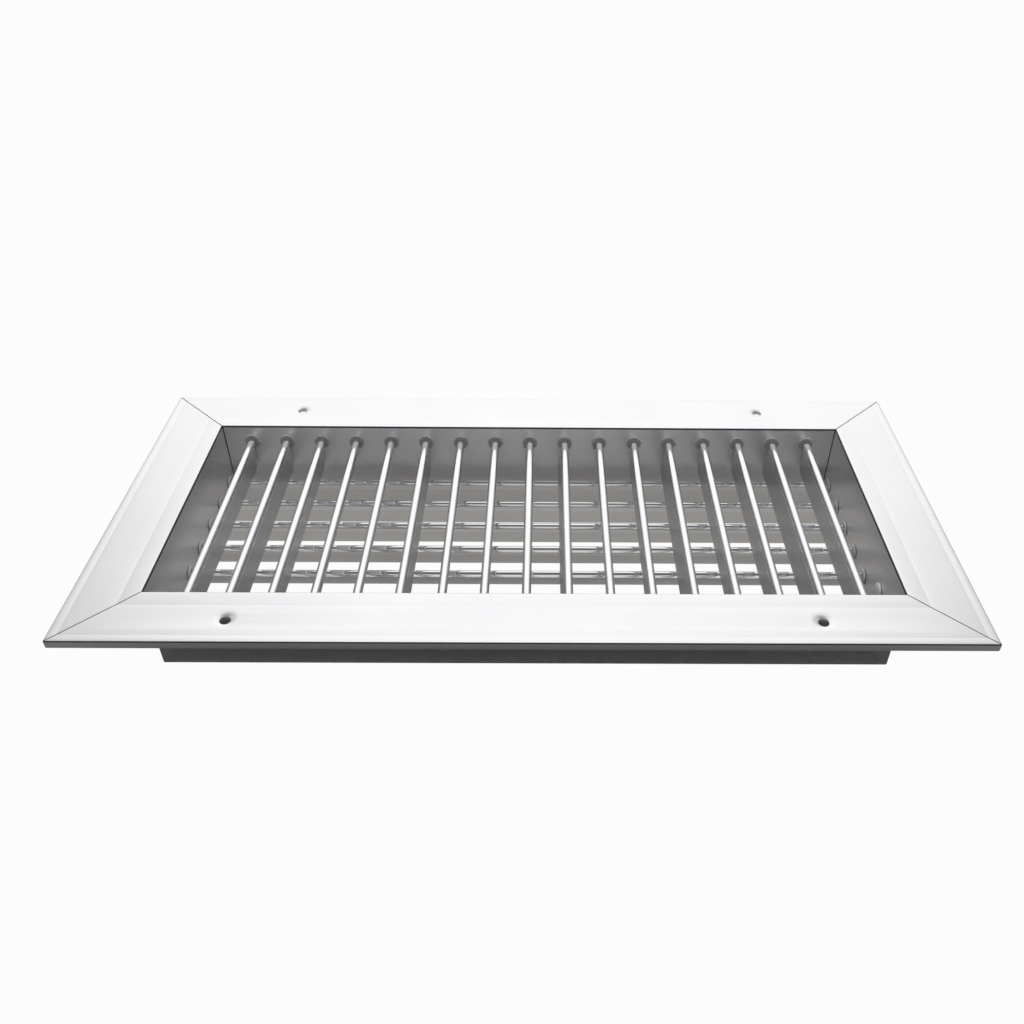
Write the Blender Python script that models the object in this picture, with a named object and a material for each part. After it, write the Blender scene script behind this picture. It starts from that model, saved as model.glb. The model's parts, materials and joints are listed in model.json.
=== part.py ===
# Double deflection grille: a mitred aluminium frame with a neck, a front row of
# blades that run from front to back and a rear row that runs from left to right.
# Every blade turns on its own pins in nylon bushes. Metres, +Z out of the face.
# The grille lies face up on the rim of its neck, centred on the origin.

import math

import bmesh
import bpy
from mathutils import Vector

# Frame
opening_length = 0.3512
opening_width = 0.1432
neck_depth = 0.0450
wall = 0.0012
flange_width = 0.0330
flange_sheet = 0.0015
lip_height = 0.0045
mitre_gap = 0.0003

# Form of the flange's face: an inner crown, a fine crease, an outer crown and a flat rim
edge_radius = 0.0010
edge_steps = 4
crown_steps = 3
crease_offset = 0.0092
crease_width = 0.0008
crease_sink = 0.00015
inner_crown_drop = 0.00025
outer_crown_drop = 0.00022
rim_band = 0.0044
rim_drop = 0.0003
rim_radius = 0.0004
rim_steps = 2

# Channel under the flange for the corner keys
channel_offset = 0.0040
channel_width = 0.0090
channel_rib = 0.0010
channel_hook = 0.0012
hook_height = 0.0008
key_clearance = 0.0003
key_thickness = 0.0016
key_leg = 0.0400
key_chamfer = 0.0012

# Dimpled screw holes in the two long rails
screw_hole_diameter = 0.0050
dimple_diameter = 0.0092
dimple_depth = 0.0012
dimple_skin = 0.0010
screw_spacing = 0.2670
screw_offset = 0.0187
screw_sides = 24

# Blades
front_pitch = 0.0200
front_pivot_depth = 0.0096
front_tail_length = 0.0175
rear_pitch = 0.0206
rear_pivot_depth = 0.0325
rear_tail_length = 0.0120
nose_diameter = 0.0044
web_root_thickness = 0.0018
web_tail_thickness = 0.0010
tail_chamfer = 0.0018
nose_steps = 11
tail_steps = 2
blade_end_gap = 0.0003
blade_swing = math.radians(45)
swing_clearance = 0.0006

# How far each blade is turned by hand, in degrees. A longer row starts the list again.
# Front blades, from the left: positive moves the tail to +X.
# Rear blades, from the front: positive moves the tail to +Y.
front_turns = (-2, 3, -4, -12, -14, 4.5, -7, -3, -7, -10, 0, -2.5, -10, -2.5, -3, -9.5, -2)
rear_turns = (33, 31, 27, 17, 9, -1.5, 0)

# Pins and bushes
pin_diameter = 0.0030
pin_sides = 10
pin_clearance = 0.0003
bush_flange_diameter = 0.0084
bush_flange_thickness = 0.0008
bush_barrel_diameter = 0.0060
bush_barrel_proud = 0.0008
bush_fit = 0.0003
bush_sides = 16
bore_sides = 10
bush_nib_reach = 0.0051

# Which way the small nib on each bush's flange points, in degrees, seen from outside the neck.
# None is a bush without one.
nib_turns = (None, 180, None, 90, 175, 180, 50, 130, 45, 180, 230, None, 225, 90, None, 90, 170)

# Spare plug in the right-hand end wall
plug_head_diameter = 0.0086
plug_head_height = 0.0018
plug_rim_height = 0.0008
plug_dome_steps = 3
plug_shank_diameter = 0.0046
plug_shank_proud = 0.0008
plug_fit = 0.0003
plug_from_face = 0.0228
plug_from_middle = -0.0435
plug_sides = 16

# Sizes worked out from the ones above
half_length = opening_length / 2
half_width = opening_width / 2
bush_inner_reach = bush_fit + bush_flange_thickness
bush_outer_reach = wall + bush_barrel_proud
bore_radius = pin_diameter / 2 + pin_clearance
front_pivot_z = neck_depth - front_pivot_depth
rear_pivot_z = neck_depth - rear_pivot_depth
cutter_margin = 0.0020

# Every rail is drawn along X, with the neck's inner face in the plane y = 0 and -Y outwards,
# and is then turned and moved to its side of the opening.
rail_places = {
    "front": ((0, -half_width, 0), 0),
    "right": ((half_length, 0, 0), math.pi / 2),
    "back": ((0, half_width, 0), math.pi),
    "left": ((-half_length, 0, 0), -math.pi / 2),
}
outwards = Vector((0, -1, 0))
sideways = Vector((1, 0, 0))
upwards = Vector((0, 0, 1))


def clear_scene():
    for old in list(bpy.data.objects):
        bpy.data.objects.remove(old, do_unlink=True)


def make_material(name, colour, metallic, roughness):
    material = bpy.data.materials.new(name)
    material.use_nodes = True
    shader = material.node_tree.nodes["Principled BSDF"]
    shader.inputs["Base Color"].default_value = (*colour, 1.0)
    shader.inputs["Metallic"].default_value = metallic
    shader.inputs["Roughness"].default_value = roughness
    return material


def add_object(name, mesh, material=None):
    obj = bpy.data.objects.new(name, mesh)
    bpy.context.scene.collection.objects.link(obj)
    if material and not mesh.materials:
        mesh.materials.append(material)
    return obj


def finish_mesh(name, bm, sharp_degrees=30):
    """Turns a bmesh into a mesh with outward normals, smooth where it is round."""
    bmesh.ops.recalc_face_normals(bm, faces=bm.faces)
    mesh = bpy.data.meshes.new(name)
    bm.to_mesh(mesh)
    bm.free()
    mesh.shade_smooth()
    mesh.set_sharp_from_angle(angle=math.radians(sharp_degrees))
    return mesh


def loft(bm, rings):
    """Skins closed rings of equal length one after the other and caps both ends."""
    made = [[bm.verts.new(point) for point in ring] for ring in rings]
    for first, second in zip(made, made[1:]):
        for i in range(len(first)):
            j = (i + 1) % len(first)
            bm.faces.new((first[i], first[j], second[j], second[i]))
    bm.faces.new(list(reversed(made[0])))
    bm.faces.new(made[-1])


def arc(centre, radius, start, end, steps):
    """Points of an arc in a section's plane, angles in degrees."""
    points = []
    for i in range(steps + 1):
        angle = math.radians(start + (end - start) * i / steps)
        points.append((centre[0] + radius * math.cos(angle), centre[1] + radius * math.sin(angle)))
    return points


def turned(bm, outline, sides, centre, axis, side_axis, nib=None):
    """Revolves (along, radius) pairs about an axis. A third value pulls the ring's first corner out to it."""
    first = Vector(side_axis)
    second = Vector(axis).cross(first)
    start = math.radians(nib or 0)
    rings = []
    for along, radius, *reach in outline:
        ring = []
        for i in range(sides):
            angle = start + 2 * math.pi * i / sides
            out = reach[0] if reach and nib is not None and i == 0 else radius
            direction = first * math.cos(angle) + second * math.sin(angle)
            ring.append(Vector(centre) + Vector(axis) * along + direction * out)
        rings.append(ring)
    loft(bm, rings)


def helper(name, bm, carrier, mesh=None):
    """A solid that a Boolean on its carrier uses. It moves with the carrier and stays out of the render."""
    obj = add_object(name, mesh or finish_mesh(name, bm))
    obj.parent = carrier
    obj.hide_render = True
    obj.display_type = "WIRE"
    return obj


def boolean(obj, name, operand, operation):
    modifier = obj.modifiers.new(name, "BOOLEAN")
    modifier.operation = operation
    modifier.solver = "EXACT"
    modifier.object = operand


def row_places(span, pitch, tail_length):
    """Evenly pitched places in the middle of a span, as many as can swing clear of its ends."""
    room = tail_length * math.sin(blade_swing) + web_tail_thickness / 2 + swing_clearance
    count = int((span - 2 * room) / pitch) + 1
    return [(i - (count - 1) / 2) * pitch for i in range(count)]


def crown(start, end, drop_start, fall):
    """One soft crown of the flange's face, level at its start and falling faster towards its end."""
    points = []
    for i in range(1, crown_steps + 1):
        t = i / crown_steps
        points.append((start + (end - start) * t, neck_depth - drop_start - fall * t * t))
    return points


def rail_section():
    """Closed outline of the frame's extrusion: distance outwards from the opening, height above the rim."""
    top = neck_depth
    half_crease = crease_width / 2
    rim_line = flange_width - rim_band
    under = top - flange_sheet
    seat = top - lip_height
    hook_top = seat + hook_height
    channel_end = channel_offset + channel_width
    rim_centre = (flange_width - rim_radius, top - rim_drop - rim_radius)
    line_drop = inner_crown_drop + outer_crown_drop
    section = [(0, 0)]
    section += arc((edge_radius, top - edge_radius), edge_radius, 180, 90, edge_steps)
    section += crown(edge_radius, crease_offset - half_crease, 0, inner_crown_drop)
    section += [(crease_offset, top - inner_crown_drop - crease_sink)]
    section += [(crease_offset + half_crease, top - inner_crown_drop)]
    section += crown(crease_offset + half_crease, rim_line - half_crease, inner_crown_drop, outer_crown_drop)
    section += [(rim_line, top - line_drop - crease_sink)]
    section += [(rim_line + half_crease, top - line_drop)]
    section += arc(rim_centre, rim_radius, 90, 0, rim_steps)
    section += [
        (flange_width, seat),
        (flange_width - wall, seat),
        (flange_width - wall, under - rim_drop),
        (rim_line, under),
        (channel_end + channel_rib, under),
        (channel_end + channel_rib, seat),
        (channel_end - channel_hook, seat),
        (channel_end - channel_hook, hook_top),
        (channel_end, hook_top),
        (channel_end, under),
        (channel_offset, under),
        (channel_offset, hook_top),
        (channel_offset + channel_hook, hook_top),
        (channel_offset + channel_hook, seat),
        (channel_offset - channel_rib, seat),
        (channel_offset - channel_rib, under),
        (wall, under),
        (wall, 0),
    ]
    return section


def mitred_rail(name, half):
    """The extrusion cut at 45 degrees at both ends, half the mitre's gap short of the neighbouring rail."""
    bm = bmesh.new()
    rings = []
    for end in (-1, 1):
        ring = []
        for reach, height in rail_section():
            run = half + reach - mitre_gap / math.sqrt(2)
            ring.append(sideways * end * run + outwards * reach + upwards * height)
        rings.append(ring)
    loft(bm, rings)
    return finish_mesh(name, bm)


def bush_outline(seat):
    """A nylon bush from the front of its flange to the end of its barrel, along the way out of the neck."""
    flange = bush_flange_diameter / 2
    barrel = bush_barrel_diameter / 2
    return [
        (-bush_inner_reach, flange, bush_nib_reach),
        (seat, flange, bush_nib_reach),
        (seat, barrel),
        (bush_outer_reach, barrel),
    ]


def through_hole(radius):
    """A straight cutter that passes right through the neck's wall and what is on it."""
    reach = bush_outer_reach + cutter_margin
    return [(-reach, radius), (reach, radius)]


def add_pressed_bushes(rail):
    """The front row's bushes, pressed into a long rail: the bodies are joined on and then bored."""
    bodies = bmesh.new()
    bores = bmesh.new()
    for index, place in enumerate(row_places(opening_length, front_pitch, front_tail_length)):
        centre = sideways * place + upwards * front_pivot_z
        nib = nib_turns[index % len(nib_turns)]
        turned(bodies, bush_outline(wall / 2), bush_sides, centre, outwards, sideways, nib)
        turned(bores, through_hole(bore_radius), bore_sides, centre, outwards, sideways)
    boolean(rail, "Bushes", helper(rail.name + "_bushes", bodies, rail), "UNION")
    boolean(rail, "Bush bores", helper(rail.name + "_bush_bores", bores, rail), "DIFFERENCE")


def add_screw_dimples(rail):
    """Pressed dimples for countersunk screws: a bulge below the face, then the cone and the hole."""
    bulges = bmesh.new()
    holes = bmesh.new()
    cone = dimple_diameter / 2
    hole = screw_hole_diameter / 2
    slope = (cone - hole) / dimple_depth
    for end in (-1, 1):
        centre = sideways * end * screw_spacing / 2 + outwards * screw_offset + upwards * neck_depth
        bulge = [
            (-dimple_depth - dimple_skin, hole + dimple_skin),
            (-flange_sheet, cone),
            (-dimple_depth, cone),
        ]
        turned(bulges, bulge, screw_sides, centre, upwards, sideways)
        cut = [
            (-lip_height, hole),
            (-dimple_depth, hole),
            (dimple_depth, cone + slope * dimple_depth),
        ]
        turned(holes, cut, screw_sides, centre, upwards, sideways)
    boolean(rail, "Dimple bulges", helper(rail.name + "_dimple_bulges", bulges, rail), "UNION")
    boolean(rail, "Screw holes", helper(rail.name + "_screw_holes", holes, rail), "DIFFERENCE")


def cut_wall_holes(rail, with_plug):
    """Holes through an end wall for the rear row's bushes, and for the spare plug where there is one."""
    holes = bmesh.new()
    hole = through_hole(bush_barrel_diameter / 2 + bush_fit)
    for place in row_places(opening_width, rear_pitch, rear_tail_length):
        centre = sideways * place + upwards * rear_pivot_z
        turned(holes, hole, bush_sides, centre, outwards, sideways)
    if with_plug:
        centre = sideways * plug_from_middle + upwards * (neck_depth - plug_from_face)
        hole = through_hole(plug_shank_diameter / 2 + plug_fit)
        turned(holes, hole, plug_sides, centre, outwards, sideways)
    boolean(rail, "Wall holes", helper(rail.name + "_holes", holes, rail), "DIFFERENCE")


def make_rails(material):
    """Two long rails and two short ones, cut from one extrusion."""
    long_rail = mitred_rail("long_rail", half_length)
    short_rail = mitred_rail("short_rail", half_width)
    for side, (place, turn) in rail_places.items():
        is_long = side in ("front", "back")
        rail = add_object(side + "_rail", long_rail if is_long else short_rail, material)
        rail.location = place
        rail.rotation_euler = (0, 0, turn)
        if is_long:
            add_pressed_bushes(rail)
            add_screw_dimples(rail)
        else:
            cut_wall_holes(rail, side == "right")


def make_corner_keys(material):
    """Flat L-shaped keys that lie in the channels and hold the mitres together, drawn about the opening's corner."""
    inner = channel_offset + key_clearance
    outer = channel_offset + channel_width - key_clearance
    top = neck_depth - flange_sheet - key_clearance
    outline = [
        (outer - key_leg, inner),
        (inner, inner),
        (inner, outer - key_leg),
        (outer, outer - key_leg),
        (outer, outer - key_chamfer),
        (outer - key_chamfer, outer),
        (outer - key_leg, outer),
    ]
    bm = bmesh.new()
    loft(bm, [[Vector((x, y, z)) for x, y in outline] for z in (-key_thickness, 0)])
    mesh = finish_mesh("corner_key", bm)
    corners = {
        "back_right": (half_length, half_width, 0),
        "back_left": (-half_length, half_width, math.pi / 2),
        "front_left": (-half_length, -half_width, math.pi),
        "front_right": (half_length, -half_width, -math.pi / 2),
    }
    for name, (x, y, turn) in corners.items():
        key = add_object(name + "_key", mesh, material)
        key.location = (x, y, top)
        key.rotation_euler = (0, 0, turn)


def make_rear_bushes(material):
    """A nylon bush at each end of every rear blade, its flange inside the neck and its barrel through the wall."""
    for side in ("left", "right"):
        wall_place, turn = rail_places[side]
        for index, place in enumerate(row_places(opening_width, rear_pitch, rear_tail_length)):
            name = "{}_bush_{:02d}".format(side, index + 1)
            bm = bmesh.new()
            nib = nib_turns[index % len(nib_turns)]
            turned(bm, bush_outline(-bush_fit), bush_sides, (0, 0, 0), outwards, sideways, nib)
            bush = add_object(name, finish_mesh(name, bm), material)
            bush.location = (wall_place[0], place, rear_pivot_z)
            bush.rotation_euler = (0, 0, turn)
            bm = bmesh.new()
            turned(bm, through_hole(bore_radius), bore_sides, (0, 0, 0), outwards, sideways)
            boolean(bush, "Bore", helper(name + "_bore", bm, bush), "DIFFERENCE")


def make_plug(material):
    """Snap-in plug with a domed head, which fills a spare hole in the right-hand end wall."""
    head = plug_head_diameter / 2
    shank = plug_shank_diameter / 2
    rise = plug_head_height - plug_rim_height
    outline = []
    for i in range(plug_dome_steps):
        angle = math.pi / 2 * (i + 1) / (plug_dome_steps + 1)
        outline.append((-plug_fit - plug_rim_height - rise * math.cos(angle), head * math.sin(angle)))
    outline += [
        (-plug_fit - plug_rim_height, head),
        (-plug_fit, head),
        (-plug_fit, shank),
        (wall + plug_shank_proud, shank),
    ]
    bm = bmesh.new()
    turned(bm, outline, plug_sides, (0, 0, 0), outwards, sideways)
    plug = add_object("right_wall_plug", finish_mesh("right_wall_plug", bm, 50), material)
    plug.location = (half_length, plug_from_middle, neck_depth - plug_from_face)
    plug.rotation_euler = (0, 0, rail_places["right"][1])


def blade_section(tail_length, shorter):
    """Bulb-nosed blade about its pivot: across the blade, and along it down to the rounded tail."""
    nose = nose_diameter / 2
    tail = web_tail_thickness / 2
    meets = math.degrees(math.asin(web_root_thickness / nose_diameter))
    outline = arc((0, 0), nose, -90 + meets, 270 - meets, nose_steps)
    return outline + arc((0, shorter + tail - tail_length), tail, 180, 360, tail_steps)


def blade_mesh(name, half, tail_length):
    """The blade's extrusion along X, with its tail corners nipped off."""
    stations = [
        (-half, tail_chamfer),
        (tail_chamfer - half, 0),
        (half - tail_chamfer, 0),
        (half, tail_chamfer),
    ]
    bm = bmesh.new()
    loft(bm, [[Vector((x, y, z)) for y, z in blade_section(tail_length, shorter)] for x, shorter in stations])
    return finish_mesh(name, bm, 40)


def pins_mesh(name, half):
    """A pin in each end of a blade: it starts inside the nose and ends level with the wall's outer face."""
    bm = bmesh.new()
    radius = pin_diameter / 2
    start = half - cutter_margin
    end = half + blade_end_gap + bush_inner_reach + wall
    for way in (-1, 1):
        turned(bm, [(start, radius), (end, radius)], pin_sides, (0, 0, 0), (way, 0, 0), (0, 1, 0))
    return finish_mesh(name, bm)


def make_row(row, material):
    """One object for each blade of a row, its origin on the pins' axis, turned as it is set."""
    if row == "front":
        spread, span, pitch, turns = opening_length, opening_width, front_pitch, front_turns
        tail_length = front_tail_length
    else:
        spread, span, pitch, turns = opening_width, opening_length, rear_pitch, rear_turns
        tail_length = rear_tail_length
    half = span / 2 - bush_inner_reach - blade_end_gap
    mesh = blade_mesh(row + "_blade", half, tail_length)
    pins = pins_mesh(row + "_blade_pins", half)
    for index, place in enumerate(row_places(spread, pitch, tail_length)):
        name = "{}_blade_{:02d}".format(row, index + 1)
        blade = add_object(name, mesh, material)
        turn = math.radians(turns[index % len(turns)])
        if row == "front":
            blade.location = (place, 0, front_pivot_z)
            blade.rotation_euler = (-turn, 0, math.pi / 2)
        else:
            blade.location = (0, place, rear_pivot_z)
            blade.rotation_euler = (turn, 0, 0)
        boolean(blade, "Pins", helper(name + "_pins", None, blade, pins), "UNION")


clear_scene()
aluminium = make_material("satin_anodised_aluminium", (0.80, 0.80, 0.80), 1.0, 0.34)
blade_aluminium = make_material("bright_anodised_aluminium", (0.78, 0.78, 0.79), 1.0, 0.28)
nylon = make_material("natural_nylon", (0.66, 0.66, 0.63), 0.0, 0.45)
white_nylon = make_material("white_nylon", (0.82, 0.82, 0.81), 0.0, 0.40)
zinc_plate = make_material("zinc_plated_steel", (0.62, 0.63, 0.65), 1.0, 0.42)
make_rails(aluminium)
make_corner_keys(zinc_plate)
make_rear_bushes(nylon)
make_plug(white_nylon)
make_row("front", blade_aluminium)
make_row("rear", blade_aluminium)
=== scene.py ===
import json
import math

import bpy
from mathutils import Matrix, Vector


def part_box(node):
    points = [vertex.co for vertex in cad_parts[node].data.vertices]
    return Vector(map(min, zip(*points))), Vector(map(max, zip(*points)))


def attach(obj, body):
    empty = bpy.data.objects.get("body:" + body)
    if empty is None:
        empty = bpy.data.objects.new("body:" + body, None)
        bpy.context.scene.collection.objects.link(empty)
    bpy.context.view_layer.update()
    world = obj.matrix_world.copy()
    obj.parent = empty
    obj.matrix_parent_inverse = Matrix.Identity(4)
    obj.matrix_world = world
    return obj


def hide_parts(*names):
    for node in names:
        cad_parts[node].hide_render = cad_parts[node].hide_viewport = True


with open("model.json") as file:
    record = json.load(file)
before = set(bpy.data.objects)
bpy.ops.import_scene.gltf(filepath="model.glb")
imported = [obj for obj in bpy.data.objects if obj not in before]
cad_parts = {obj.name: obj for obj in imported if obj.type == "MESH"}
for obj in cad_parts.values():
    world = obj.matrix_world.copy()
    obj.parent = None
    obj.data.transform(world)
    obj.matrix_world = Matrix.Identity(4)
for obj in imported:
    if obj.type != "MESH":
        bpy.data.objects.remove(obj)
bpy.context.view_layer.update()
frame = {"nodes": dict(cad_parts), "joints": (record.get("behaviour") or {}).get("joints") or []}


# The frame: four rails cut from one aluminium extrusion and mitred at the corners. Each has
# a neck wall, a flange with a soft crease and a flat rim, a turned-down lip and a channel for
# the corner keys. Satin natural anodising. Along the bends it is a little rougher and painted nearly
# black as a dark reflection line, and on the sawn ends in the mitre gaps it is painted dark as shade.
half_length = 0.1756
half_width = 0.0716
neck_depth = 0.0450
wall = 0.0012
flange_width = 0.0330
flange_sheet = 0.0015
bend_radius = 0.0010
bend_steps = 9
rim_radius = 0.0005
rim_steps = 6
rim_fall = 0.00082
rim_thickening = (0.0290, 0.0004)
lip_height = 0.0045
lip_inside = 0.0318
lip_round = 0.0003
mitre_gap = 0.0005
saw_allowance = 0.0050
channel = (0.0040, 0.0130)
rib = 0.0010
hook = 0.0012
hook_height = 0.0008

# How far the flange's face has fallen at each distance from the opening, in millimetres
face_falls = (
    (2.0, 0.0), (3.0, 0.012), (4.0, 0.030), (5.0, 0.055), (6.0, 0.087), (7.0, 0.126), (8.0, 0.172),
    (8.5, 0.198), (8.9, 0.222), (9.2, 0.236), (9.5, 0.232), (9.9, 0.220), (10.4, 0.208), (11.0, 0.198),
    (12.0, 0.190), (13.5, 0.190), (15.0, 0.200), (18.7, 0.240), (22.0, 0.288), (25.5, 0.345), (27.6, 0.384),
    (28.1, 0.402), (28.45, 0.422), (28.6, 0.426), (28.75, 0.422), (29.1, 0.403), (29.8, 0.372), (31.0, 0.330),
)


def draw_outline(name, points):
    """Draws a closed section from point to point and fills it."""
    bpy.ops.object.select_all(action="DESELECT")
    bpy.ops.mesh.primitive_plane_add(size=0.001, location=points[0])
    obj = bpy.context.object
    obj.name = obj.data.name = name
    bpy.ops.object.mode_set(mode="EDIT")
    bpy.ops.mesh.merge(type="CENTER")
    for start, end in zip(points, points[1:]):
        step = Vector(end) - Vector(start)
        bpy.ops.mesh.extrude_region_move(TRANSFORM_OT_translate={"value": step})
    bpy.ops.mesh.select_all(action="SELECT")
    bpy.ops.mesh.edge_face_add()
    return obj


def draw_bar(name, section, half):
    """Pushes a section along X to both sides of the middle and leaves the bar in edit mode."""
    obj = draw_outline(name, [(-half, y, z) for _, y, z in section])
    bpy.ops.mesh.extrude_region_move(TRANSFORM_OT_translate={"value": (2 * half, 0, 0)})
    bpy.ops.mesh.select_all(action="SELECT")
    bpy.ops.mesh.normals_make_consistent(inside=False)
    return obj


def round_corner(centre, radius, start, end, steps):
    """Points of an arc in the section's plane, angles in degrees."""
    turns = [math.radians(start + (end - start) * i / steps) for i in range(steps + 1)]
    return [(0, centre[0] + radius * math.cos(t), centre[1] + radius * math.sin(t)) for t in turns]


def cut_off(point, towards):
    """Slices everything beyond a plane off the piece in edit mode and closes the cut."""
    bpy.ops.mesh.select_all(action="SELECT")
    bpy.ops.mesh.bisect(plane_co=point, plane_no=towards, use_fill=True, clear_outer=True, threshold=1e-7)


def pick(obj):
    """Makes one piece the only one that the next operator works on."""
    bpy.ops.object.select_all(action="DESELECT")
    obj.select_set(True)
    bpy.context.view_layer.objects.active = obj


def settle(obj, place=(0, 0, 0), turn=(0, 0, 0), smooth=30):
    """Puts a finished piece in its place, keeps the place in the mesh and smooths its round faces."""
    pick(obj)
    bpy.ops.object.transform_apply(location=True, rotation=True, scale=True)
    obj.location = place
    obj.rotation_euler = turn
    bpy.ops.object.transform_apply(location=True, rotation=True, scale=True)
    bpy.ops.object.shade_smooth_by_angle(angle=math.radians(smooth))


def rail_section():
    """The extrusion's outline across the rail: -Y is outwards from the opening."""
    top = neck_depth
    under = top - flange_sheet
    seat = top - lip_height
    inner, outer = channel
    points = [(0, 0, 0), (0, 0, top - bend_radius)]
    points += round_corner((-bend_radius, top - bend_radius), bend_radius, 0, 90, bend_steps)[1:]
    points += [(0, -across / 1000, top - fall / 1000) for across, fall in face_falls]
    points += round_corner((rim_radius - flange_width, top - rim_fall), rim_radius, 90, 180, rim_steps)
    thick_from, thicker = rim_thickening
    lip = [(flange_width, seat + lip_round), (flange_width - lip_round, seat)]
    lip += [(lip_inside + lip_round, seat), (lip_inside, seat + lip_round)]
    lip += [(lip_inside, under - thicker), (thick_from, under), (outer + rib, under), (outer + rib, seat)]
    lip += [(outer - hook, seat), (outer - hook, seat + hook_height), (outer, seat + hook_height)]
    lip += [(outer, under), (inner, under), (inner, seat + hook_height), (inner + hook, seat + hook_height)]
    lip += [(inner + hook, seat), (inner - rib, seat), (inner - rib, under), (wall, under), (wall, 0)]
    return points + [(0, -across, height) for across, height in lip]


def extrude_rail(name, half):
    """One mitred rail, drawn along X with its inner face in the plane y = 0."""
    obj = draw_bar(name, rail_section(), half + flange_width + saw_allowance)
    edge = half - mitre_gap / math.sqrt(2)
    cut_off((edge, 0, 0), (1, 1, 0))
    cut_off((-edge, 0, 0), (-1, 1, 0))
    bpy.ops.object.mode_set(mode="OBJECT")
    return obj


def turn_round(name, rings, sides, middle=(0, 0, 0)):
    """Raises a round piece from a disc, ring by ring; each ring is a radius and a height."""
    radius, height = rings[0]
    start = Vector(middle) + Vector((0, 0, height))
    bpy.ops.object.select_all(action="DESELECT")
    bpy.ops.mesh.primitive_circle_add(vertices=sides, radius=radius, fill_type="NGON", location=start)
    obj = bpy.context.object
    obj.name = obj.data.name = name
    bpy.ops.object.mode_set(mode="EDIT")
    for (small, low), (large, high) in zip(rings, rings[1:]):
        bpy.ops.mesh.extrude_region_move(TRANSFORM_OT_translate={"value": (0, 0, high - low)})
        size = large / small
        pivot = Vector(middle) + Vector((0, 0, high))
        bpy.ops.transform.resize(value=(size, size, 1), center_override=pivot)
    bpy.ops.mesh.select_all(action="SELECT")
    bpy.ops.mesh.normals_make_consistent(inside=False)
    bpy.ops.object.mode_set(mode="OBJECT")
    return obj


def cut_with(obj, tool, operation):
    """Cuts or joins one solid with another and throws the tool away."""
    pick(obj)
    modifier = obj.modifiers.new("Cut", "BOOLEAN")
    modifier.operation = operation
    modifier.solver = "EXACT"
    modifier.object = tool
    bpy.ops.object.modifier_apply(modifier=modifier.name)
    bpy.data.objects.remove(tool, do_unlink=True)


screw_reach = 0.1335
screw_offset = 0.0187
dimple_top = neck_depth - 0.00024
dimple_sides = 48
dimple_bulge = ((0.0034, -0.0025), (0.0036, -0.0025), (0.0040, -0.0022), (0.0047, -0.0012), (0.0049, -0.0008))
dimple_cone = (
    (0.0025, -0.0040), (0.0025, -0.00072), (0.00256, -0.00064), (0.0028, -0.00055), (0.0031, -0.00045),
    (0.0034, -0.00036), (0.0038, -0.00026), (0.0042, -0.00018), (0.0046, -0.00011), (0.0050, -0.00006),
    (0.0054, -0.00002), (0.0059, 0.00001), (0.0064, 0.00004), (0.0070, 0.0006),
)


def press_dimples(rail):
    """Two pressed dimples for countersunk screws, with soft edges above and a bulge below."""
    for end in (-1, 1):
        spot = (end * screw_reach, -screw_offset, dimple_top)
        cut_with(rail, turn_round("bulge", dimple_bulge, dimple_sides, spot), "UNION")
        cut_with(rail, turn_round("cone", dimple_cone, dimple_sides, spot), "DIFFERENCE")


def link(tree, source, output, target, socket):
    """Leads one node's output to another node's input."""
    tree.links.new(source.outputs[output], target.inputs[socket])


def calculate(tree, kind, operation, *values):
    """A Math or VectorMath node; each value is fixed, or a node and the name of its output."""
    result = tree.nodes.new(kind)
    result.operation = operation
    for index, value in enumerate(values):
        if isinstance(value, tuple) and isinstance(value[1], str):
            link(tree, *value, result, index)
        else:
            result.inputs[index].default_value = value
    return result


def add_noise(tree, source, output, scale, detail, roughness=0.5):
    """A cloudy pattern, read at the place that another node gives."""
    noise = tree.nodes.new("ShaderNodeTexNoise")
    noise.inputs["Scale"].default_value = scale
    noise.inputs["Detail"].default_value = detail
    noise.inputs["Roughness"].default_value = roughness
    link(tree, source, output, noise, "Vector")
    return noise


def map_range(tree, source, output, low, high, start=0.0, end=1.0):
    """Maps a value from one range to another."""
    ranged = tree.nodes.new("ShaderNodeMapRange")
    ranged.inputs["From Min"].default_value = low
    ranged.inputs["From Max"].default_value = high
    ranged.inputs["To Min"].default_value = start
    ranged.inputs["To Max"].default_value = end
    link(tree, source, output, ranged, "Value")
    return ranged


def mix_tones(tree, mask, output, dark, light, target, socket):
    """Two tones of one colour, mixed by a mask and led to a shader's colour."""
    tone = tree.nodes.new("ShaderNodeMix")
    tone.data_type = "RGBA"
    tone.inputs["A"].default_value = (*dark, 1.0)
    tone.inputs["B"].default_value = (*light, 1.0)
    link(tree, mask, output, tone, "Factor")
    link(tree, tone, "Result", target, socket)


def raise_grain(tree, mask, output, shader, strength, depth):
    """Fine relief that follows a mask."""
    bump = tree.nodes.new("ShaderNodeBump")
    bump.inputs["Strength"].default_value = strength
    bump.inputs["Distance"].default_value = depth
    link(tree, mask, output, bump, "Height")
    link(tree, bump, "Normal", shader, "Normal")


def start_material(name, metallic=0.0):
    """A new material, its node tree and its one shader."""
    material = bpy.data.materials.new(name)
    material.use_nodes = True
    shader = material.node_tree.nodes["Principled BSDF"]
    shader.inputs["Metallic"].default_value = metallic
    return material, material.node_tree, shader


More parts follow.
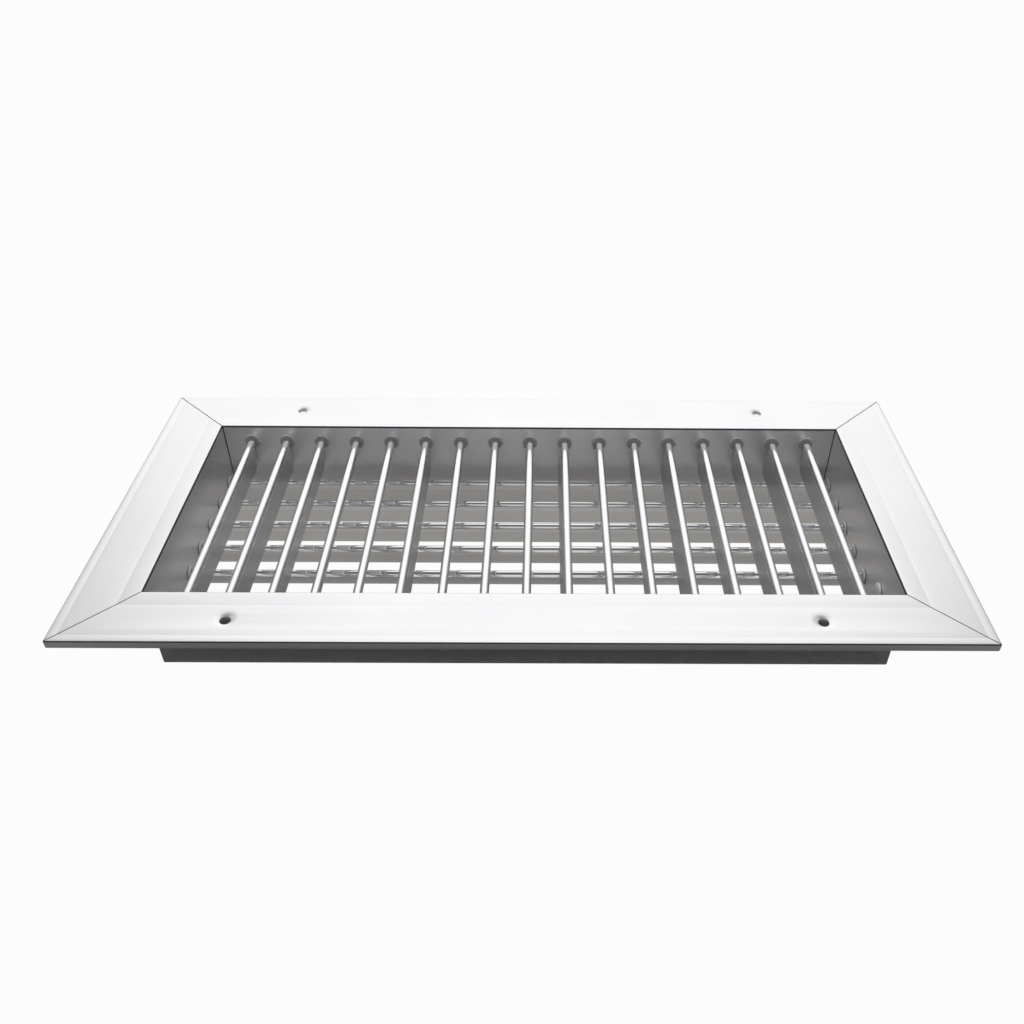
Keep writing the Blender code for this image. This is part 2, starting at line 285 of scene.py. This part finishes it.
def drawn_metal_group():
    """Marks that drawn aluminium has: die lines along the bar, slow clouds and a fine grain."""
    group = bpy.data.node_groups.new("drawn_metal_marks", "ShaderNodeTree")
    group.interface.new_socket("Across", in_out="INPUT", socket_type="NodeSocketVector")
    for mark in ("Lines", "Clouds", "Grain"):
        group.interface.new_socket(mark, in_out="OUTPUT", socket_type="NodeSocketFloat")
    inside = group.nodes.new("NodeGroupInput")
    outside = group.nodes.new("NodeGroupOutput")
    place = group.nodes.new("ShaderNodeTexCoord")
    stretch = calculate(group, "ShaderNodeVectorMath", "MULTIPLY", (place, "Object"), (inside, "Across"))
    lines = add_noise(group, stretch, "Vector", scale=1.0, detail=4.0, roughness=0.65)
    clouds = add_noise(group, place, "Object", scale=22.0, detail=3.0)
    grain = add_noise(group, place, "Object", scale=2600.0, detail=2.0)
    link(group, lines, "Fac", outside, "Lines")
    link(group, clouds, "Fac", outside, "Clouds")
    link(group, grain, "Fac", outside, "Grain")
    return group


metal_marks = drawn_metal_group()
line_range = (0.3, 0.7)
grain_share = 0.12
relief_strength = 0.35


def drawn_metal(name, across, dark, light, gloss, metallic=0.93, line_depth=0.000001):
    """Anodised aluminium whose die lines run along one axis."""
    material, tree, shader = start_material(name, metallic)
    marks = tree.nodes.new("ShaderNodeGroup")
    marks.node_tree = metal_marks
    marks.inputs["Across"].default_value = across
    mix_tones(tree, marks, "Clouds", dark, light, shader, "Base Color")
    link(tree, map_range(tree, marks, "Lines", *line_range, *gloss), "Result", shader, "Roughness")
    relief = calculate(tree, "ShaderNodeMath", "MULTIPLY_ADD", (marks, "Grain"), grain_share, (marks, "Lines"))
    raise_grain(tree, relief, "Value", shader, relief_strength, line_depth)
    return material


along_x = (2.5, 1400.0, 1400.0)
along_y = (1400.0, 2.5, 1400.0)
rail_metal = {}
painted_reflection_bend_metal = {}
for length, lines in (("long", along_x), ("short", along_y)):
    rail_name = "satin_aluminium_{}_rails".format(length)
    rail_metal[length] = drawn_metal(rail_name, lines, (0.860, 0.857, 0.876), (0.930, 0.928, 0.940), (0.28, 0.34))
    # The bends' material is painted nearly black: a painted dark reflection line along each bend.
    painted_reflection_bend_name = "dull_aluminium_{}_bends".format(length)
    painted_reflection_bend_metal[length] = drawn_metal(painted_reflection_bend_name, lines, (0.050, 0.050, 0.055), (0.080, 0.080, 0.085), (0.30, 0.38))

# The sawn ends are painted dark: painted shade of the mitre gaps, with saw marks varying the tone.
painted_shade_sawn_metal, sawn_tree, sawn_shader = start_material("painted_shade_sawn_ends", 0.6)
sawn_shader.inputs["Roughness"].default_value = 0.7
saw_place = sawn_tree.nodes.new("ShaderNodeTexCoord")
saw_marks = add_noise(sawn_tree, saw_place, "Object", scale=900.0, detail=2.0)
mix_tones(sawn_tree, saw_marks, "Fac", (0.07, 0.07, 0.07), (0.16, 0.16, 0.16), sawn_shader, "Base Color")

rail_places = {
    "front": ((0, -half_width, 0), 0.0),
    "right": ((half_length, 0, 0), math.pi / 2),
    "back": ((0, half_width, 0), math.pi),
    "left": ((-half_length, 0, 0), -math.pi / 2),
}

# Only a sawn end is upright and has so many corners. A bend's faces are told by how far they lean.
# The sawn ends get the painted shade of the mitre gaps, and the bends get a painted dark reflection line.
upright = 0.01
sawn_corners = 40
painted_reflection_leans = (0.12, 0.93)
for side, (place, turn) in rail_places.items():
    is_long = side in ("front", "back")
    length = "long" if is_long else "short"
    rail = extrude_rail(side + "_rail_extrusion", half_length if is_long else half_width)
    if is_long:
        press_dimples(rail)
    settle(rail, place, (0, 0, turn))
    for finish in (rail_metal[length], painted_shade_sawn_metal, painted_reflection_bend_metal[length]):
        rail.data.materials.append(finish)
    inner_edge = half_width if is_long else half_length
    for face in rail.data.polygons:
        out = abs(face.center.y if is_long else face.center.x) - inner_edge
        on_bend = out < bend_radius or out > flange_width - rim_radius
        # Upright sawn end faces get the painted shade of the mitre gaps.
        if len(face.vertices) > sawn_corners and abs(face.normal.z) < upright:
            face.material_index = 1
        # Faces on the inner bend and on the rim's rounding get the painted dark reflection line.
        elif on_bend and painted_reflection_leans[0] < face.normal.z < painted_reflection_leans[1]:
            face.material_index = 2
    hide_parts(side + "_rail")
    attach(rail, "frame")


# The corner keys: flat L-shaped strips of zinc-plated steel in the rails' channels.
# They show only from below, between the channel's hooks.
zinc, zinc_tree, zinc_shader = start_material("zinc_plated_steel", 1.0)
spangle = zinc_tree.nodes.new("ShaderNodeTexVoronoi")
spangle.inputs["Scale"].default_value = 500.0
link(zinc_tree, zinc_tree.nodes.new("ShaderNodeTexCoord"), "Object", spangle, "Vector")
mix_tones(zinc_tree, spangle, "Distance", (0.50, 0.51, 0.53), (0.68, 0.69, 0.71), zinc_shader, "Base Color")
zinc_gloss = map_range(zinc_tree, spangle, "Distance", 0.0, 1.0, 0.35, 0.55)
link(zinc_tree, zinc_gloss, "Result", zinc_shader, "Roughness")
for corner in ("front_left", "front_right", "back_left", "back_right"):
    key = frame["nodes"][corner + "_key"]
    key.data.materials.clear()
    key.data.materials.append(zinc)


# The blades: bulb-nosed aluminium extrusions, glossy on the nose and rougher on the web, whose
# darker tone is painted shade, with nipped tail corners and a pin in each end. One is made for
# each row, and each copy is turned about its pins as the frame's joint says that it is set.
nose = 0.0022
nose_steps = 16
nose_fullness = 2.15
web_root = 0.0009
web_root_turn = math.radians(6)
web_shoulder = web_root * 0.95
web_top = 0.0026
web_taper = 0.0032
web_tail = 0.0005
tail_steps = 6
nip_in = 0.0012
nip_up = 0.0022
nip_leans = ((1.0, -0.45), (0.6, -1.0))
flank_lean = 0.9
pin_radius = 0.0015
pin_tip = pin_radius * 0.88
pin_root = 0.0010
pin_chamfer = 0.0002
pin_short = 0.0001
pin_sides = 24
blade_gap = 0.0014
half_span = {"front": half_width, "rear": half_length}
tail_reach = {"front": 0.0175, "rear": 0.0120}
nose_tones = ((0.84, 0.84, 0.85), (0.91, 0.91, 0.92))
nose_metal = {
    "front": drawn_metal(
        "bright_aluminium_front_noses", along_y, *nose_tones, (0.10, 0.14), metallic=1.0, line_depth=0.0000005),
    "rear": drawn_metal(
        "bright_aluminium_rear_noses", along_x, *nose_tones, (0.04, 0.06), metallic=1.0, line_depth=0.0000002),
}
# The webs are the same metal as the noses, in a darker and, at the rear, warmer tone: painted shade.
front_web_painted_shade_tones = ((0.62, 0.62, 0.65), (0.70, 0.70, 0.72))
rear_web_painted_shade_tones = ((0.78, 0.775, 0.765), (0.86, 0.855, 0.845))
painted_shade_web_metal = {
    "front": drawn_metal("painted_shade_aluminium_front_webs", along_y, *front_web_painted_shade_tones, (0.34, 0.40)),
    "rear": drawn_metal("painted_shade_aluminium_rear_webs", along_x, *rear_web_painted_shade_tones, (0.16, 0.22)),
}


def blade_section(tail):
    """A blade's outline: a nose a little fuller above the pins' axis, and a web that tapers below it."""
    meets = math.asin(web_root / nose) + web_root_turn
    section = []
    for step in range(2 * nose_steps + 1):
        turn = meets - math.pi / 2 + (math.pi - meets) * step / nose_steps
        across, up = math.cos(turn), math.sin(turn)
        power = nose_fullness if up > 0 else 2.0
        reach = nose / (abs(across) ** power + abs(up) ** power) ** (1 / power)
        section.append((0, reach * across, reach * up))
    section += [(0, -web_root, -web_top), (0, -web_shoulder, -web_taper)]
    section += round_corner((0, web_tail - tail), web_tail, 180, 360, tail_steps)
    return section + [(0, web_shoulder, -web_taper), (0, web_root, -web_top)]


def make_blade(row):
    """One blade along X about its pins' axis, its tail hanging down and two cuts at each tail corner."""
    half = half_span[row] - blade_gap
    tail = tail_reach[row]
    pin_end = half_span[row] + wall - pin_short
    obj = draw_bar(row + "_blade_stock", blade_section(tail), half)
    for way in (-1, 1):
        for (out, down), spot in zip(nip_leans, ((half - nip_in, -tail), (half, nip_up - tail))):
            cut_off((way * spot[0], 0, spot[1]), (way * out, 0, down))
    bpy.ops.object.mode_set(mode="OBJECT")
    pin_rings = ((pin_radius, half - pin_root), (pin_radius, pin_end - pin_chamfer), (pin_tip, pin_end))
    for way in (-1, 1):
        pin = turn_round("pin", pin_rings, pin_sides)
        settle(pin, (0, 0, 0), (0, way * math.pi / 2, 0))
        cut_with(obj, pin, "UNION")
    obj.data.materials.append(nose_metal[row])
    obj.data.materials.append(painted_shade_web_metal[row])
    # The web's flanks get the web material and with it the painted shade.
    for face in obj.data.polygons:
        face.material_index = int(abs(face.normal.y) > flank_lean and face.center.z < -web_top)
    return obj


def make_copy(obj, name):
    """A second piece off the same tool, with its own mesh."""
    pick(obj)
    bpy.ops.object.duplicate(linked=False)
    twin = bpy.context.object
    twin.name = twin.data.name = name
    return twin


blade_stock = {row: make_blade(row) for row in ("front", "rear")}
pivots = {"front": [], "rear": []}
for joint in frame["joints"]:
    row = joint["child"].split("_")[0]
    spot = Vector(joint["pos_m"])
    pivots[row].append(spot)
    straight = math.radians(sum(joint["range_deg"]) / 2)
    run = Matrix.Rotation(math.pi / 2 if row == "front" else 0.0, 3, "Z")
    tilt = Matrix.Rotation(-straight, 3, Vector(joint["axis"]))
    blade = make_copy(blade_stock[row], joint["child"] + "_extrusion")
    settle(blade, spot, (tilt @ run).to_euler(), smooth=35)
    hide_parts(joint["child"])
    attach(blade, joint["child"])
for spare in blade_stock.values():
    bpy.data.objects.remove(spare, do_unlink=True)


# The bushes: moulded nylon, with a flange inside the neck, a barrel through its wall and on
# most a small pointed nib. The front row's are pressed flat into the long rails, the rear
# row's are paler, have a domed flange and sit in the short rails.
bush_flange = 0.0042
bush_barrel = 0.0030
bush_depth = 0.0020
bush_face = 0.0011
bush_chamfer = 0.0002
bush_edge = 0.0001
bush_sides = 32
bore = 0.0017
nib_reach = 0.0052
nib_depth = 0.0003
nib_half_width = 0.0001

# Which way the nib points on each bush from the first, in degrees. None is a bush without one.
nib_turns = (None, 180, None, 90, 175, 180, 50, 130, 45, 180, 230, None, 225, 90, None, 90, 170)

# The flange's rounded edge: how far in from the rim, and how far below the face
flat_edge = ((0.0, 0.00025), (0.00007, 0.00010), (0.00025, 0.00002), (0.0007, 0.0))
domed_edge = ((0.0, 0.00060), (0.00015, 0.00042), (0.00050, 0.00020), (0.00100, 0.00006), (0.0016, 0.0))


def moulded_nylon_group():
    """Marks that moulded nylon has: slight clouds, which colour, gloss and surface grain follow."""
    group = bpy.data.node_groups.new("moulded_nylon_marks", "ShaderNodeTree")
    group.interface.new_socket("Scale", in_out="INPUT", socket_type="NodeSocketFloat")
    group.interface.new_socket("Clouds", in_out="OUTPUT", socket_type="NodeSocketFloat")
    inside = group.nodes.new("NodeGroupInput")
    outside = group.nodes.new("NodeGroupOutput")
    clouds = add_noise(group, group.nodes.new("ShaderNodeTexCoord"), "Object", scale=1.0, detail=4.0)
    link(group, inside, "Scale", clouds, "Scale")
    link(group, clouds, "Fac", outside, "Clouds")
    return group


nylon_marks = moulded_nylon_group()
cloud_scale = 260.0
gloss_spread = 0.08
grain_strength = 0.25
grain_depth = 0.00005


def moulded_nylon(name, dark, light, rough):
    """Moulded nylon that lets a little light in."""
    material, tree, shader = start_material(name)
    shader.inputs["Subsurface Weight"].default_value = 0.15
    shader.inputs["Subsurface Scale"].default_value = 0.001
    shader.inputs["Subsurface Radius"].default_value = (1.0, 0.95, 0.85)
    marks = tree.nodes.new("ShaderNodeGroup")
    marks.node_tree = nylon_marks
    marks.inputs["Scale"].default_value = cloud_scale
    mix_tones(tree, marks, "Clouds", dark, light, shader, "Base Color")
    gloss = map_range(tree, marks, "Clouds", 0.0, 1.0, rough - gloss_spread, rough + gloss_spread)
    link(tree, gloss, "Result", shader, "Roughness")
    raise_grain(tree, marks, "Clouds", shader, grain_strength, grain_depth)
    return material


def make_bush(name, flange_back, edge, with_nib):
    """One bush standing on its barrel, the flange's face up and the wall's inner face at zero."""
    rings = [(bore, -bush_depth), (bush_barrel - bush_chamfer, -bush_depth), (bush_barrel, bush_chamfer - bush_depth)]
    rings += [(bush_barrel, flange_back), (bush_flange - bush_edge, flange_back)]
    rings += [(bush_flange, flange_back + bush_edge)]
    rings += [(bush_flange - out, bush_face - down) for out, down in edge]
    rings += [(bore + bush_chamfer, bush_face), (bore, bush_face - bush_chamfer)]
    obj = turn_round(name, rings, bush_sides)
    bpy.ops.object.mode_set(mode="EDIT")
    bpy.ops.mesh.select_all(action="DESELECT")
    bpy.ops.object.mode_set(mode="OBJECT")
    for face in obj.data.polygons:
        face.select = len(face.vertices) > 4
    bpy.ops.object.mode_set(mode="EDIT")
    bpy.ops.mesh.select_mode(type="FACE")
    bpy.ops.mesh.bridge_edge_loops()
    bpy.ops.mesh.select_all(action="SELECT")
    bpy.ops.mesh.normals_make_consistent(inside=False)
    bpy.ops.mesh.select_mode(type="VERT")
    bpy.ops.mesh.select_all(action="DESELECT")
    bpy.ops.object.mode_set(mode="OBJECT")
    if with_nib:
        for corner in obj.data.vertices:
            out = math.hypot(corner.co.x, corner.co.y)
            at_rim = out > bush_flange - nib_depth
            corner.select = at_rim and abs(corner.co.y) < nib_half_width and corner.co.x > 0
        bpy.ops.object.mode_set(mode="EDIT")
        bpy.ops.transform.translate(value=(nib_reach - bush_flange, 0, 0))
        bpy.ops.object.mode_set(mode="OBJECT")
    return obj


def face_inwards(side, spin=0.0):
    """The turn that stands a piece on one side's wall, facing the opening, after a spin about its own axis."""
    onto_wall = Matrix.Rotation(rail_places[side][1], 3, "Z") @ Matrix.Rotation(-math.pi / 2, 3, "X")
    return (onto_wall @ Matrix.Rotation(spin, 3, "Z")).to_euler()


bush_nylon = {
    "front": moulded_nylon("grey_nylon", (0.46, 0.46, 0.46), (0.58, 0.58, 0.58), 0.42),
    "rear": moulded_nylon("natural_nylon", (0.80, 0.80, 0.78), (0.92, 0.92, 0.90), 0.30),
}
bush_shapes = {"front": ("pressed_bush", -0.0001, flat_edge), "rear": ("loose_bush", 0.0003, domed_edge)}
bush_stock = {}
for row, shape in bush_shapes.items():
    for with_nib in (True, False):
        bush_stock[row, with_nib] = make_bush(*shape, with_nib)

for side in ("front", "back", "left", "right"):
    row, along = ("front", 0) if side in ("front", "back") else ("rear", 1)
    order = -1 if side == "back" else 1
    for index, pivot in enumerate(sorted(pivots[row], key=lambda p: p[along] * order)):
        nib = nib_turns[index % len(nib_turns)]
        bush = make_copy(bush_stock[row, nib is not None], "{}_wall_bush_{:02d}".format(side, index + 1))
        spot = Vector(rail_places[side][0])
        spot[along] = pivot[along]
        spot.z = pivot.z
        settle(bush, spot, face_inwards(side, math.radians(nib or 0)), smooth=35)
        bush.data.materials.append(bush_nylon[row])
        if row == "rear":
            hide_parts("{}_bush_{:02d}".format(side, index + 1))
        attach(bush, "frame")
for spare in bush_stock.values():
    bpy.data.objects.remove(spare, do_unlink=True)


# The spare plug: a white nylon button with a domed head and a shank, snapped into the
# right-hand end wall.
plug_head = 0.0043
plug_shank = 0.0023
plug_depth = 0.0020
plug_chamfer = 0.0002
plug_seat = 0.0003
plug_edge = 0.0001
plug_rim = 0.0009
plug_dome = 0.0012
plug_dome_turns = range(10, 90, 10)
plug_sides = 40
plug_rings = [(plug_shank - plug_chamfer, -plug_depth), (plug_shank, plug_chamfer - plug_depth)]
plug_rings += [(plug_shank, plug_seat), (plug_head - plug_edge, plug_seat)]
plug_rings += [(plug_head, plug_seat + plug_edge), (plug_head, plug_rim)]
for angle in map(math.radians, plug_dome_turns):
    plug_rings.append((plug_head * math.cos(angle), plug_rim + plug_dome * math.sin(angle)))
plug = turn_round("right_wall_button", plug_rings, plug_sides)
low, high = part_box("right_wall_plug")
settle(plug, (half_length, (low.y + high.y) / 2, (low.z + high.z) / 2), face_inwards("right"), smooth=40)
plug.data.materials.append(moulded_nylon("white_nylon", (0.78, 0.78, 0.77), (0.88, 0.88, 0.87), 0.35))
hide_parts("right_wall_plug")
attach(plug, "frame")


# The floor: pale, and plain white to the camera. What the metal mirrors of it carries a painted
# shadow in front of the grille and under its back, and a painted pool of light under its middle.
floor_drop = 0.0002
bpy.ops.object.select_all(action="DESELECT")
bpy.ops.mesh.primitive_circle_add(vertices=96, radius=9.0, fill_type="NGON", location=(0, 0, -floor_drop))
floor = bpy.context.object
floor.name = "floor"
floor_paint, tree, paint = start_material("pale_floor")
paint.inputs["Base Color"].default_value = (0.75, 0.75, 0.75, 1.0)
paint.inputs["Roughness"].default_value = 0.9
paint.inputs["Specular IOR Level"].default_value = 0.0
white_share = 0.97
front_end, back_end = -0.10, 0.08
# How bright the floor is in what metal and glass mirror, from its front to its back: painted shadow in front, a
# painted pool of light under the middle, and painted shadow again under the back.
painted_floor_light_shares = (
    (0.0, 0.0), (0.19, 0.0), (0.39, 0.11), (0.53, 0.21), (0.67, 0.28), (0.75, 0.29), (0.88, 0.22), (1.0, 0.15),
)


def mirrored_rays(tree, path):
    """One for the rays that metal or glass sends out, and zero for all others."""
    return calculate(tree, "ShaderNodeMath", "MAXIMUM", (path, "Is Glossy Ray"), (path, "Is Transmission Ray"))


def share_ramp(tree, source, output, shares):
    """Soft steps of grey over a value; each is a place from 0 to 1 and a brightness."""
    ramp = tree.nodes.new("ShaderNodeValToRGB")
    ramp.color_ramp.interpolation = "EASE"
    for element, (_, share) in zip(ramp.color_ramp.elements, (shares[0], shares[-1])):
        element.color = (share, share, share, 1.0)
    for spot, share in shares[1:-1]:
        ramp.color_ramp.elements.new(spot).color = (share, share, share, 1.0)
    link(tree, source, output, ramp, "Fac")
    return ramp


path = tree.nodes.new("ShaderNodeLightPath")
glow = tree.nodes.new("ShaderNodeEmission")
glow.inputs["Strength"].default_value = 1.0
mix_tones(tree, path, "Is Camera Ray", (1.0, 0.97, 0.93), (1.0, 1.0, 1.0), glow, "Color")
spread = tree.nodes.new("ShaderNodeSeparateXYZ")
link(tree, tree.nodes.new("ShaderNodeTexCoord"), "Object", spread, "Vector")
run_back = map_range(tree, spread, "Y", front_end, back_end)
# The painted shadow and pool of light on the floor, for mirrored rays only.
painted_floor_light = share_ramp(tree, run_back, "Result", painted_floor_light_shares)
mirrored = mirrored_rays(tree, path)
faint = calculate(tree, "ShaderNodeMath", "MULTIPLY", (mirrored, "Value"), (painted_floor_light, "Color"))
seen = calculate(tree, "ShaderNodeMath", "MULTIPLY_ADD", (path, "Is Camera Ray"), white_share, (faint, "Value"))
blend = tree.nodes.new("ShaderNodeMixShader")
link(tree, seen, "Value", blend, "Fac")
link(tree, paint, "BSDF", blend, 1)
link(tree, glow, "Emission", blend, 2)
link(tree, blend, "Shader", tree.nodes["Material Output"], "Surface")
floor.data.materials.append(floor_paint)


# The studio round it: white to the camera, a tall bright wall behind the grille that fades
# into a dark ceiling and a dark front, and pale walls at half height for reflections only.
world = bpy.data.worlds.new("studio")
bpy.context.scene.world = world
world.use_nodes = True
tree = world.node_tree
sky = tree.nodes["Background"]
sky.inputs["Color"].default_value = (1.0, 1.0, 1.0, 1.0)
wall_stretch = (1.4, 1.0, 0.55)
wall_middle = (0.0, 0.970, 0.242)
wall_edge = (0.60, 0.86)
wall_light = (0.05, 1.12)
wall_shares = ((0.0, 0.0), (0.16, 0.0), (0.40, 0.60), (0.72, 0.60), (0.88, 0.14), (1.0, 0.14))
direction = tree.nodes.new("ShaderNodeTexCoord")
tall = calculate(tree, "ShaderNodeVectorMath", "MULTIPLY", (direction, "Generated"), wall_stretch)
even = calculate(tree, "ShaderNodeVectorMath", "NORMALIZE", (tall, "Vector"))
aim = calculate(tree, "ShaderNodeVectorMath", "DOT_PRODUCT", (even, "Vector"), wall_middle)
fade = map_range(tree, aim, "Value", *wall_edge, *wall_light)
fade.interpolation_type = "SMOOTHSTEP"
view = tree.nodes.new("ShaderNodeLightPath")
height = tree.nodes.new("ShaderNodeSeparateXYZ")
link(tree, direction, "Generated", height, "Vector")
walls = share_ramp(tree, height, "Z", wall_shares)
bounced = mirrored_rays(tree, view)
pale_walls = calculate(tree, "ShaderNodeMath", "MULTIPLY", (walls, "Color"), (bounced, "Value"))
brighter = calculate(tree, "ShaderNodeMath", "MAXIMUM", (fade, "Result"), (pale_walls, "Value"))
level = tree.nodes.new("ShaderNodeMix")
level.data_type = "FLOAT"
level.inputs["B"].default_value = 1.0
link(tree, view, "Is Camera Ray", level, "Factor")
link(tree, brighter, "Value", level, "A")
link(tree, level, "Result", sky, "Strength")


# The lamps: three large soft boxes, above and on both sides, that light the grille. They are
# kept off the floor, so that the neck and the lip stay dark.
flagged = bpy.data.collections.new("flagged_from_soft_boxes")
flagged.objects.link(floor)
flagged.collection_objects[0].light_linking.link_state = "EXCLUDE"
for name, place, size, brightness in (
    ("overhead_box", (0.0, 0.0, 1.3), 1.6, 1.6),
    ("left_box", (-1.3, 0.2, 0.8), 0.8, 2.5),
    ("right_box", (1.3, 0.2, 0.8), 0.8, 2.5),
):
    lamp = bpy.data.lights.new(name, "AREA")
    lamp.size = size
    lamp.energy = brightness * math.pi * size * size
    lamp_obj = bpy.data.objects.new(name, lamp)
    bpy.context.scene.collection.objects.link(lamp_obj)
    lamp_obj.location = place
    lamp_obj.rotation_euler = Vector(place).to_track_quat("Z", "Y").to_euler()
    lamp_obj.visible_camera = False
    lamp_obj.visible_glossy = False
    lamp_obj.light_linking.receiver_collection = flagged


# The camera: a standard lens in front of the grille, looking down at it by forty degrees and
# rolled by less than one. The shift only sets the framing.
camera = bpy.data.cameras.new("camera")
camera.lens = 34.096
camera.sensor_width = 36.0
camera.shift_x = -0.0394
camera.shift_y = 0.0622
camera_obj = bpy.data.objects.new("camera", camera)
bpy.context.scene.collection.objects.link(camera_obj)
pitch = math.radians(40.203)
yaw = math.radians(-0.775)
roll = math.radians(0.743)
aimed = Matrix.Rotation(yaw, 3, "Z") @ Matrix.Rotation(math.pi / 2 - pitch, 3, "X") @ Matrix.Rotation(roll, 3, "Z")
camera_obj.location = (0.0075, -0.40745, 0.3391)
camera_obj.rotation_euler = aimed.to_euler()
bpy.context.scene.camera = camera_obj
bpy.context.scene.view_settings.view_transform = "Standard"
